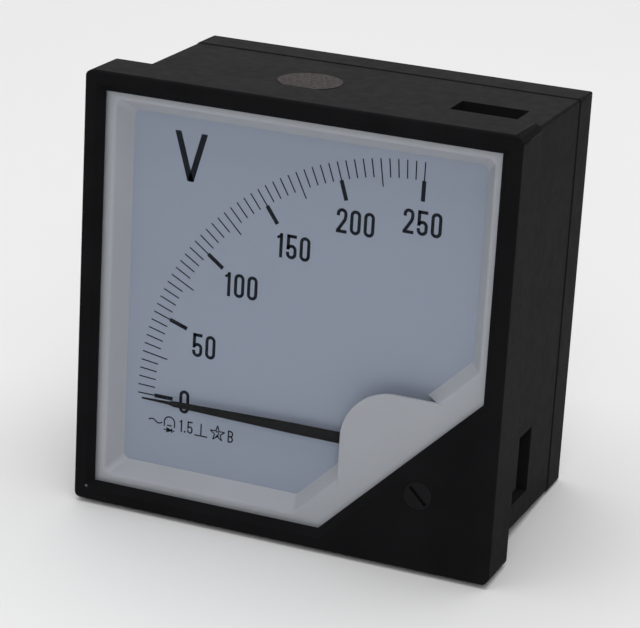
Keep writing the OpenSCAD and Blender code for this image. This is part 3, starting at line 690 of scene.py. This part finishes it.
class Lettering:
    """Upright characters of even stroke, each drawn from its lower left corner.

    Their proportions are shares of the height, the width and the stroke.
    """

    def __init__(self, bm, height, width, stroke):
        self.bm, self.height, self.width, self.stroke = bm, height, width, stroke
        self.bend = (width - stroke) / 2
        self.left, self.right = stroke / 2, width - stroke / 2
        self.low, self.high = stroke / 2, height - stroke / 2

    def pen(self, x, z, heading, width=None):
        return Pen(self.bm, self.origin + x, self.base + z, heading, width or self.stroke)

    def zero(self):
        rise = self.high - self.low - 2 * self.bend
        pen = self.pen(self.right, self.low + self.bend, 90)
        pen.line(rise).arc(self.bend, 180).line(rise).arc(self.bend, 180).close()

    def one(self):
        stem = self.width * 0.44
        self.pen(stem, 0, 90).line(self.height)
        flag = self.pen(stem - self.width * 0.38, self.height * 0.8, 34, self.stroke * 0.8)
        flag.line(self.width * 0.5)

    def two(self):
        start = self.height * 0.69
        pen = self.pen(self.left, start, 90).line(self.high - self.bend - start)
        pen.arc(self.bend, -180).line(self.height * 0.09)
        pen.arc(self.width * 0.75, -32)
        foot = pen.place.z - self.base - self.stroke * 0.75
        pen.line(foot / math.sin(math.radians(58)))
        self.pen(0, self.low, 0).line(self.width)

    def five(self):
        shoulder = self.height * 0.38
        self.pen(self.width * 0.96, self.high, 180).line(self.width * 0.96 - self.stroke * 0.1)
        self.pen(self.left + self.stroke * 0.1, self.height, -90).line(self.height * 0.58)
        pen = self.pen(self.left, shoulder, 90).arc(self.bend, -180)
        pen.line(shoulder - self.low - self.bend).arc(self.bend, -180).line(self.height * 0.06)

    def letter_b(self):
        bend = (self.high - self.low) / 4
        self.pen(self.left, 0, 90).line(self.height)
        for middle in (self.low + bend, self.high - bend):
            flat = self.right - self.left - bend
            pen = self.pen(self.left, middle - bend, 0).line(flat)
            pen.arc(bend, 180).line(flat)

    def point(self):
        self.pen(0, self.stroke * 0.6, 0, self.stroke * 1.2).line(self.stroke * 1.2)

    def write(self, text, x, z, gap):
        """Writes text centred at x and z."""
        shapes = {
            "0": self.zero,
            "1": self.one,
            "2": self.two,
            "5": self.five,
            "B": self.letter_b,
            ".": self.point,
        }
        narrow = {"1": self.width * 0.66, ".": self.stroke * 1.2}
        widths = [narrow.get(character, self.width) for character in text]
        self.origin = x - (sum(widths) + gap * (len(text) - 1)) / 2
        self.base = z - self.height / 2
        for character, width in zip(text, widths):
            shapes[character]()
            self.origin += width + gap


def add_print(name, bm, material):
    """Lays flat strokes on the dial as a thin film of ink."""
    sizes = bpy.context.scene.meter_dial
    bmesh.ops.translate(bm, vec=(0, DIAL_FACE - sizes.ink, 0), verts=bm.verts)
    thicken(bm, sizes.ink)
    add_piece(name, bm, material, "meter")


def ink():
    """The one printing ink of the dial."""
    made = bpy.data.materials.get("dial_ink")
    if made:
        return made
    film = Finish("dial_ink", bpy.context.scene.meter_finish.ink, 0.6, specular=0.2)
    grain = film.noise(0.6 * MM, 3)
    film.paint(film.blend(film.levels(grain, 0, 1), film.tint(0.8), film.tint(1.5)))
    film.roughen(film.levels(grain, 0.5, 0.7))
    return film.material


class METER_OT_dial_scale(bpy.types.Operator):
    """Finish the dial plate and print the scale's marks"""

    bl_idname = "meter.dial_scale"
    bl_label = "Dial Scale"

    def execute(self, context):
        sizes = context.scene.meter_dial
        paint = Finish("dial_paint", context.scene.meter_finish.dial, 0.55, specular=0.25)
        cloud = paint.noise(40 * MM, 2)
        paint.paint(paint.blend(paint.levels(cloud, 0, 1), paint.tint(0.985), paint.tint(1.015)))
        paint.roughen(paint.levels(paint.noise(2 * MM), 0.5, 0.6))
        paint.bump(paint.noise(0.25 * MM, 2), 0.003 * MM, 0.4)
        finish_nodes(paint.material, "dial_plate")
        bm = bmesh.new()
        for count in range(sizes.divisions + 1):
            direction = sizes.zero - sizes.span * (count / sizes.divisions)
            out = PIVOT + sizes.radius * Vector((math.cos(direction), 0, math.sin(direction)))
            inward = math.degrees(direction) + 180
            at_number = count % sizes.per_number == 0
            halfway = count % sizes.per_number == sizes.per_number // 2
            mark = Pen(bm, out.x, out.z, inward, sizes.mark_width)
            mark.line(sizes.half_mark if halfway else sizes.mark)
            if at_number:
                Pen(bm, mark.place.x, mark.place.z, inward, sizes.bar_width).line(sizes.bar)
        add_print("scale_marks", bm, ink())
        return {"FINISHED"}


class METER_OT_dial_numbers(bpy.types.Operator):
    """Print the scale's numbers and the unit letter"""

    bl_idname = "meter.dial_numbers"
    bl_label = "Dial Numbers"

    def execute(self, context):
        sizes = context.scene.meter_dial
        bm = bmesh.new()
        digits = Lettering(bm, sizes.digit_height, sizes.digit_width, sizes.digit_stroke)
        for count, (x, z) in enumerate(NUMBER_MIDDLES):
            digits.write(str(count * sizes.step), x * MM, z * MM, sizes.digit_gap)
        add_print("scale_numbers", bm, ink())
        bm = bmesh.new()
        foot = Vector((UNIT_FOOT, 0, UNIT_TOP - sizes.unit_height))
        for x in UNIT_ENDS:
            # the nib stays level, so the strokes end level
            stroke = Pen(bm, x, UNIT_TOP, -90, sizes.unit_stroke)
            run = foot - stroke.place
            stroke.heading = math.atan2(run.z, run.x)
            stroke.line(run.length)
        add_print("unit_letter", bm, ink())
        return {"FINISHED"}


def wave_sign(bm, x, z, width, stroke):
    """The sign for alternating current: one wave of two arcs."""
    rise = 50
    bend = width / 4 / math.sin(math.radians(rise))
    pen = Pen(bm, x - width / 2, z, rise, stroke)
    pen.arc(bend, -2 * rise).arc(bend, 2 * rise)


def moving_coil_sign(bm, x, z, stroke):
    """A horseshoe magnet with its core, over a rectifier."""
    bend, leg = 1.53 * MM, 1.35 * MM
    Pen(bm, x + bend, z - MM, 90, stroke).line(leg).arc(bend, 180).line(leg)
    Pen(bm, x - 0.7 * MM, z - 0.6 * MM, 0, stroke).line(1.4 * MM)
    foot = z - 1.95 * MM
    Pen(bm, x - 1.7 * MM, foot, 0, stroke * 0.8).line(3.3 * MM)
    Pen(bm, x + 0.75 * MM, foot - 0.66 * MM, 90, stroke * 0.9).line(1.32 * MM)
    bmesh.ops.create_circle(
        bm,
        cap_ends=True,
        segments=3,
        radius=0.9 * MM,
        matrix=Matrix.Translation((x - 0.2 * MM, 0, foot))
        @ Matrix.Diagonal((1.5, 1, 1, 1))
        @ Matrix.Rotation(math.radians(90), 4, "X")
        @ Matrix.Rotation(math.radians(-90), 4, "Z"),
    )


def upright_sign(bm, x, z, stroke):
    """The sign for upright use: a stem on a level line."""
    rise, base = 3.5 * MM, 3.8 * MM
    Pen(bm, x, z - rise / 2, 90, stroke).line(rise)
    Pen(bm, x - base / 2, z - rise / 2, 0, stroke).line(base)


def star_sign(bm, x, z, radius, stroke):
    """The five-pointed outline of the test voltage sign."""
    arm = radius * math.sin(math.radians(36)) / math.sin(math.radians(126))
    for count in range(5):
        heading = 90 + 72 * count
        tip = math.radians(heading)
        tip_x, tip_z = x + radius * math.cos(tip), z + radius * math.sin(tip)
        for lean in (-18, 18):
            Pen(bm, tip_x, tip_z, heading + 180 + lean, stroke).line(arm)


class METER_OT_dial_symbols(bpy.types.Operator):
    """Print the small instrument symbols below the scale"""

    bl_idname = "meter.dial_symbols"
    bl_label = "Dial Symbols"

    def execute(self, context):
        sizes = context.scene.meter_dial
        stroke, row = sizes.symbol_stroke, -sizes.symbol_drop
        star = -21.45 * MM
        bm = bmesh.new()
        wave_sign(bm, -39.9 * MM, row, 4 * MM, stroke)
        moving_coil_sign(bm, -35.7 * MM, row, stroke)
        upright_sign(bm, -26.3 * MM, row, stroke)
        star_sign(bm, star, row - 0.1 * MM, 2.25 * MM, stroke * 0.9)
        letters = Lettering(bm, 3.45 * MM, 1.6 * MM, stroke * 1.1)
        letters.write("1.5", -30.8 * MM, row, 0.45 * MM)
        letters.write("B", -17.6 * MM, row - 0.25 * MM, 0)
        small = Lettering(bm, 1.6 * MM, 0.95 * MM, stroke * 0.85)
        small.write("2", star, row - 0.15 * MM, 0)
        add_print("dial_symbols", bm, ink())
        return {"FINISHED"}


# ---------- moving parts ----------


class METER_OT_pointer(bpy.types.Operator):
    """Finish the pointer"""

    bl_idname = "meter.pointer"
    bl_label = "Pointer"

    def execute(self, context):
        paint = Finish("pointer_paint", context.scene.meter_finish.pointer, 0.7, specular=0.15)
        speck = paint.noise(0.4 * MM, 3)
        paint.paint(paint.blend(paint.levels(speck, 0, 1), paint.tint(0.8), paint.tint(1.4)))
        paint.roughen(paint.levels(speck, 0.6, 0.8))
        paint.bump(speck, 0.004 * MM, 0.4)
        finish_nodes(paint.material, "pointer")
        return {"FINISHED"}


class METER_OT_zero_adjuster(bpy.types.Operator):
    """Finish the zero adjuster's screw"""

    bl_idname = "meter.zero_adjuster"
    bl_label = "Zero Adjuster"

    def execute(self, context):
        base = context.scene.meter_finish.adjuster
        plastic = moulded_plastic("adjuster_plastic", base, 0.38, 0.03, 0.2, 0.006, 4)
        finish_nodes(plastic.material, "zero_screw")
        return {"FINISHED"}


# ---------- case ----------


class METER_OT_case(bpy.types.Operator):
    """Finish the case, the rear cover, its screws and the seal"""

    bl_idname = "meter.case"
    bl_label = "Case"

    def execute(self, context):
        finish = context.scene.meter_finish
        plastic = moulded_plastic("case_plastic", finish.case, 0.36, 0.004, 0.4, 0.008, 22, 0.06)
        finish_nodes(plastic.material, "case_body", "rear_cover")
        zinc = worked_metal("zinc_plate", (0.62, 0.62, 0.6), 0.32)
        finish_nodes(zinc.material, "cover_screws")
        foil = Finish("seal_foil", finish.foil, 0.45, metallic=0.35, specular=0.03)
        cells = foil.node("ShaderNodeTexVoronoi", feature="DISTANCE_TO_EDGE")
        cells.inputs["Scale"].default_value = 1 / (1.6 * MM)
        foil.link(foil.place, cells.inputs["Vector"])
        lattice = foil.levels(cells.outputs["Distance"], 1, 0, 0.02, 0.14)
        clouds = foil.levels(foil.noise(2.2 * MM), 0, 1)
        cloudy = foil.blend(clouds, foil.tint(0.85), foil.tint(1.15))
        foil.paint(foil.blend(lattice, cloudy, finish.foil_print))
        foil.roughen(foil.levels(foil.noise(0.8 * MM), 0.35, 0.6))
        foil.bump(lattice, 0.01 * MM, 0.5)
        finish_nodes(foil.material, "seal_sticker")
        return {"FINISHED"}


# ---------- inside ----------


class METER_OT_movement(bpy.types.Operator):
    """Finish the moving coil, its springs, the magnet and the frame that holds them"""

    bl_idname = "meter.movement"
    bl_label = "Movement"

    def execute(self, context):
        brass = worked_metal("brass", (0.72, 0.52, 0.22), 0.28, (1, 6, 1))
        finish_nodes(
            brass.material,
            "zero_lever",
            "front_bridge",
            "front_standoffs",
            "front_jewel_screw",
            "balance_weights",
            "front_collet",
            "rear_collet",
            "rear_spring_arm",
            "rear_jewel_screw",
            "rear_standoffs",
        )
        bronze = worked_metal("spring_bronze", (0.7, 0.44, 0.2), 0.22, (1, 8, 1), 0.3, 0.002)
        finish_nodes(bronze.material, "hairspring_front", "hairspring_rear")
        steel = worked_metal("bright_steel", (0.66, 0.66, 0.68), 0.2, (1, 5, 1), 0.3, 0.002)
        finish_nodes(
            steel.material,
            "front_staff",
            "rear_staff",
            "bridge_screws",
            "ring_screws",
            "bracket_screws",
        )
        jewel = Finish("jewel", (0.55, 0.02, 0.06), 0.06, specular=0.8)
        jewel.roughen(jewel.levels(jewel.noise(0.3 * MM), 0.04, 0.12))
        finish_nodes(jewel.material, "pivot_jewels")
        aluminium = worked_metal("aluminium", (0.74, 0.75, 0.77), 0.35, (1, 1, 14), 0.8)
        finish_nodes(aluminium.material, "coil_former", "magnet_spacers", "rear_bracket")
        band = 0.754 * MM
        copper = Finish("coil_wire", (0.62, 0.22, 0.08), 0.3, metallic=1.0)
        turns = copper.node("ShaderNodeTexWave", wave_type="BANDS", bands_direction="Z")
        # the texture's phase runs at twenty times its scale
        turns.inputs["Scale"].default_value = 2 * math.pi / (20 * band)
        copper.link(copper.place, turns.inputs["Vector"])
        # painted shade: the grooves between the wire's turns are coloured darker, on the same
        # bands that the bump sinks
        copper.paint(copper.blend(turns.outputs["Fac"], copper.tint(0.45), copper.base))
        copper.bump(turns.outputs["Fac"], 0.03 * MM)
        finish_nodes(copper.material, "coil_winding")
        magnet = Finish("magnet_alloy", (0.16, 0.16, 0.165), 0.5, metallic=0.7)
        pits = magnet.noise(0.7 * MM, 5)
        magnet.paint(magnet.blend(magnet.levels(pits, 0, 1), magnet.tint(0.6), magnet.tint(1.3)))
        magnet.roughen(magnet.levels(pits, 0.4, 0.7))
        magnet.bump(pits, 0.03 * MM, 0.6)
        finish_nodes(magnet.material, "core_magnet")
        iron = worked_metal("soft_iron", (0.42, 0.42, 0.43), 0.38, (1, 12, 1))
        finish_nodes(iron.material, "yoke_ring")
        return {"FINISHED"}


class METER_OT_wiring(bpy.types.Operator):
    """Finish the rectifier board, its components and the leads"""

    bl_idname = "meter.wiring"
    bl_label = "Wiring"

    def execute(self, context):
        board = Finish("board_laminate", (0.30, 0.19, 0.07), 0.45)
        fibres = board.noise(0.9 * MM, 5, board.mapped(scale=(5, 1, 1)))
        board.paint(board.blend(board.levels(fibres, 0, 1), board.tint(0.7), board.tint(1.25)))
        board.roughen(board.levels(fibres, 0.35, 0.6))
        board.bump(fibres, 0.02 * MM, 0.5)
        finish_nodes(board.material, "rectifier_board")
        steel = worked_metal("board_screw_zinc", (0.6, 0.6, 0.58), 0.33)
        finish_nodes(steel.material, "board_screws", "terminal_lugs")
        for name, node, base, length in (
            ("diode_mould", "diodes", (0.012, 0.012, 0.013), 5.2),
            ("resistor_lacquer", "series_resistors", (0.12, 0.3, 0.42), 11),
        ):
            part = Finish(name, base, 0.35)
            height = part.node("ShaderNodeSeparateXYZ")
            part.link(part.place, height.inputs["Vector"])
            # the wires stick out of the body, and a pale band lies near one end of it
            off_middle = part.maths("ABSOLUTE", height.outputs["Z"])
            wire = part.maths("GREATER_THAN", off_middle, length / 2 * MM + 0.01 * MM)
            off_band = part.maths("SUBTRACT", height.outputs["Z"], length * 0.3 * MM)
            band = part.maths("LESS_THAN", part.maths("ABSOLUTE", off_band), 0.45 * MM)
            clouds = part.levels(part.noise(0.7 * MM), 0, 1)
            body = part.blend(clouds, part.tint(0.85), part.tint(1.2))
            banded = part.blend(band, body, (0.6, 0.6, 0.58))
            part.paint(part.blend(wire, banded, (0.66, 0.66, 0.64)))
            part.link(wire, part.shader.inputs["Metallic"])
            finish_nodes(part.material, node)
        for name, node, base in (
            ("lead_blue", "movement_leads", (0.02, 0.06, 0.3)),
            ("lead_red", "terminal_leads", (0.36, 0.02, 0.015)),
        ):
            cover = moulded_plastic(name, base, 0.4, 0.4, 0.3, 0.006, 3)
            finish_nodes(cover.material, node, sharp=60)
        return {"FINISHED"}


def close_ends(bm, before):
    """Closes the open ends of what was made since the edges before."""
    ends = [edge for edge in bm.edges if edge not in before and edge.is_boundary]
    bmesh.ops.holes_fill(bm, edges=ends, sides=0)


def turned(bm, x, profile, sides):
    """A solid turned round a line along Y at x, from radii and depths, with flat ends."""
    points = [bm.verts.new((x + radius, y, 0)) for radius, y in profile]
    edges = [bm.edges.new(pair) for pair in zip(points, points[1:])]
    before = set(bm.edges) - set(edges)
    bmesh.ops.spin(
        bm,
        geom=points + edges,
        cent=(x, 0, 0),
        axis=(0, 1, 0),
        angle=2 * math.pi,
        steps=sides,
        use_merge=True,
    )
    close_ends(bm, before)


def stud_thread(bm, x, sizes, start, end):
    """A screw thread round a stud: a triangular ridge swept along a helix."""
    steps = 20
    turns = int((end - start) / sizes.pitch)
    low, high = sizes.radius - sizes.thread_depth, sizes.radius
    half = sizes.pitch * 0.46
    section = ((-half, low), (0, high), (half, low))
    corners = [bm.verts.new((x, start + along, out)) for along, out in section]
    ridge = [bm.edges.new((corners[i], corners[i - 1])) for i in range(3)]
    before = set(bm.edges) - set(ridge)
    bmesh.ops.spin(
        bm,
        geom=corners + ridge,
        cent=(x, 0, 0),
        axis=(0, 1, 0),
        dvec=(0, sizes.pitch / steps, 0),
        angle=2 * math.pi * turns,
        steps=steps * turns,
        use_merge=False,
    )
    close_ends(bm, before)


class METER_OT_terminals(bpy.types.Operator):
    """Build the threaded terminal studs and finish their nuts and washers"""

    bl_idname = "meter.terminals"
    bl_label = "Terminals"

    def execute(self, context):
        sizes = context.scene.meter_terminals
        lo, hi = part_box("terminal_studs")
        head, chamfer = sizes.head_radius, sizes.chamfer
        seat = lo.y + sizes.head_height
        root = sizes.radius - sizes.thread_depth
        bm = bmesh.new()
        for x in (hi.x - head, lo.x + head):
            turned(bm, x, [(head, lo.y), (head, seat)], 6)
            shank = [(sizes.radius, seat), (sizes.radius, REAR_FACE), (root, REAR_FACE)]
            turned(bm, x, shank + [(root, hi.y - chamfer), (root - chamfer, hi.y)], 48)
            stud_thread(bm, x, sizes, REAR_FACE + sizes.pitch, hi.y - chamfer - sizes.pitch / 2)
        bmesh.ops.recalc_face_normals(bm, faces=bm.faces)
        brass = worked_metal("terminal_brass", (0.66, 0.47, 0.19), 0.3, (1, 5, 1))
        studs = add_piece("threaded_studs", bm, brass.material, "meter")
        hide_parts("terminal_studs")
        finish_nodes(brass.material, "terminal_washers", "terminal_nuts")
        spring = worked_metal("spring_steel", (0.5, 0.5, 0.51), 0.3)
        finish_nodes(spring.material, "lock_washers")
        return {"FINISHED"}


# ---------- stage ----------


def lay_floor(lean):
    """A plain pale sheet under the meter. It leans, because the meter rests on its case."""
    bm = bmesh.new()
    bmesh.ops.create_grid(bm, x_segments=1, y_segments=1, size=FLOOR_REACH)
    slope = Matrix.Rotation(lean, 3, "X")
    bmesh.ops.rotate(bm, cent=(0, 0, 0), matrix=slope, verts=bm.verts)
    bmesh.ops.translate(bm, vec=(0, 0, FLOOR_LEVEL), verts=bm.verts)
    mesh = bpy.data.meshes.new("floor")
    bm.to_mesh(mesh)
    bm.free()
    floor = bpy.data.objects.new("floor", mesh)
    bpy.context.scene.collection.objects.link(floor)
    sheet = Finish("floor_sheet", (0.8, 0.8, 0.8), 0.9, specular=0.1)
    clouds = sheet.levels(sheet.noise(0.2), 0, 1)
    sheet.paint(sheet.blend(clouds, sheet.tint(0.99), sheet.tint(1.01)))
    mesh.materials.append(sheet.material)


def area_light(name, watts, width, height, place, aim):
    """A soft rectangular light."""
    light = bpy.data.lights.new(name, "AREA")
    light.shape = "RECTANGLE"
    light.size, light.size_y = width, height
    light.energy = watts
    lamp = bpy.data.objects.new(name, light)
    lamp.location = place
    lamp.rotation_euler = (Vector(aim) - Vector(place)).to_track_quat("-Z", "Y").to_euler()
    bpy.context.scene.collection.objects.link(lamp)


def light_room(sky):
    """An even white room."""
    world = bpy.data.worlds.new("room")
    world.use_nodes = True
    background = world.node_tree.nodes["Background"]
    background.inputs["Color"].default_value = (1, 1, 1, 1)
    background.inputs["Strength"].default_value = sky
    bpy.context.scene.world = world


def place_camera(sizes):
    """The camera, and the picture's plain tones."""
    scene = bpy.context.scene
    scene.view_settings.view_transform = "Standard"
    data = bpy.data.cameras.new("camera")
    data.lens = sizes.lens
    data.sensor_width = 36
    data.shift_x, data.shift_y = sizes.shift
    data.clip_start, data.clip_end = 0.05, 20
    camera = bpy.data.objects.new("camera", data)
    level, rise = math.cos(sizes.elevation), math.sin(sizes.elevation)
    back = Vector((math.sin(sizes.azimuth) * level, -math.cos(sizes.azimuth) * level, rise))
    aim = (-back).to_track_quat("-Z", "Y")
    camera.rotation_mode = "QUATERNION"
    camera.rotation_quaternion = aim @ Matrix.Rotation(sizes.roll, 4, "Z").to_quaternion()
    camera.location = sizes.stand
    scene.collection.objects.link(camera)
    scene.camera = camera


class METER_OT_stage(bpy.types.Operator):
    """Set up the floor, the soft light and the camera"""

    bl_idname = "meter.stage"
    bl_label = "Stage"

    def execute(self, context):
        sizes = context.scene.meter_stage
        lay_floor(sizes.rest_lean)
        for name, width, height, place, aim in LIGHTS:
            area_light(name, getattr(sizes, name), width, height, place, aim)
        light_room(sizes.sky)
        place_camera(sizes)
        return {"FINISHED"}


# ---------- sidebar ----------


class METER_PT_sidebar(bpy.types.Panel):
    """Lists the meter's pieces and the stage"""

    bl_idname = "METER_PT_sidebar"
    bl_label = "Panel Meter"
    bl_space_type = "VIEW_3D"
    bl_region_type = "UI"
    bl_category = "Panel Meter"

    def draw(self, context):
        for operator in OPERATORS:
            self.layout.operator(operator.bl_idname)
        for group in SETTINGS:
            box = self.layout.box()
            settings = getattr(context.scene, group)
            for name in settings.bl_rna.properties.keys():
                if name not in ("rna_type", "name"):
                    box.prop(settings, name)


SETTINGS = {
    "meter_mask": MaskSettings,
    "meter_dial": DialSettings,
    "meter_terminals": TerminalSettings,
    "meter_finish": FinishSettings,
    "meter_stage": StageSettings,
}
OPERATORS = (
    METER_OT_front_frame,
    METER_OT_front_mask,
    METER_OT_window_pane,
    METER_OT_dial_scale,
    METER_OT_dial_numbers,
    METER_OT_dial_symbols,
    METER_OT_pointer,
    METER_OT_zero_adjuster,
    METER_OT_case,
    METER_OT_movement,
    METER_OT_wiring,
    METER_OT_terminals,
    METER_OT_stage,
)


def register():
    for group, settings in SETTINGS.items():
        bpy.utils.register_class(settings)
        setattr(bpy.types.Scene, group, PointerProperty(type=settings))
    for operator in OPERATORS:
        bpy.utils.register_class(operator)
    bpy.utils.register_class(METER_PT_sidebar)


def unregister():
    bpy.utils.unregister_class(METER_PT_sidebar)
    for operator in reversed(OPERATORS):
        bpy.utils.unregister_class(operator)
    for group, settings in reversed(SETTINGS.items()):
        delattr(bpy.types.Scene, group)
        bpy.utils.unregister_class(settings)


def main():
    """Builds everything in order."""
    register()
    for operator in OPERATORS:
        group, name = operator.bl_idname.split(".")
        getattr(getattr(bpy.ops, group), name)()
    bpy.context.view_layer.update()


if __name__ == "__main__":
    main()
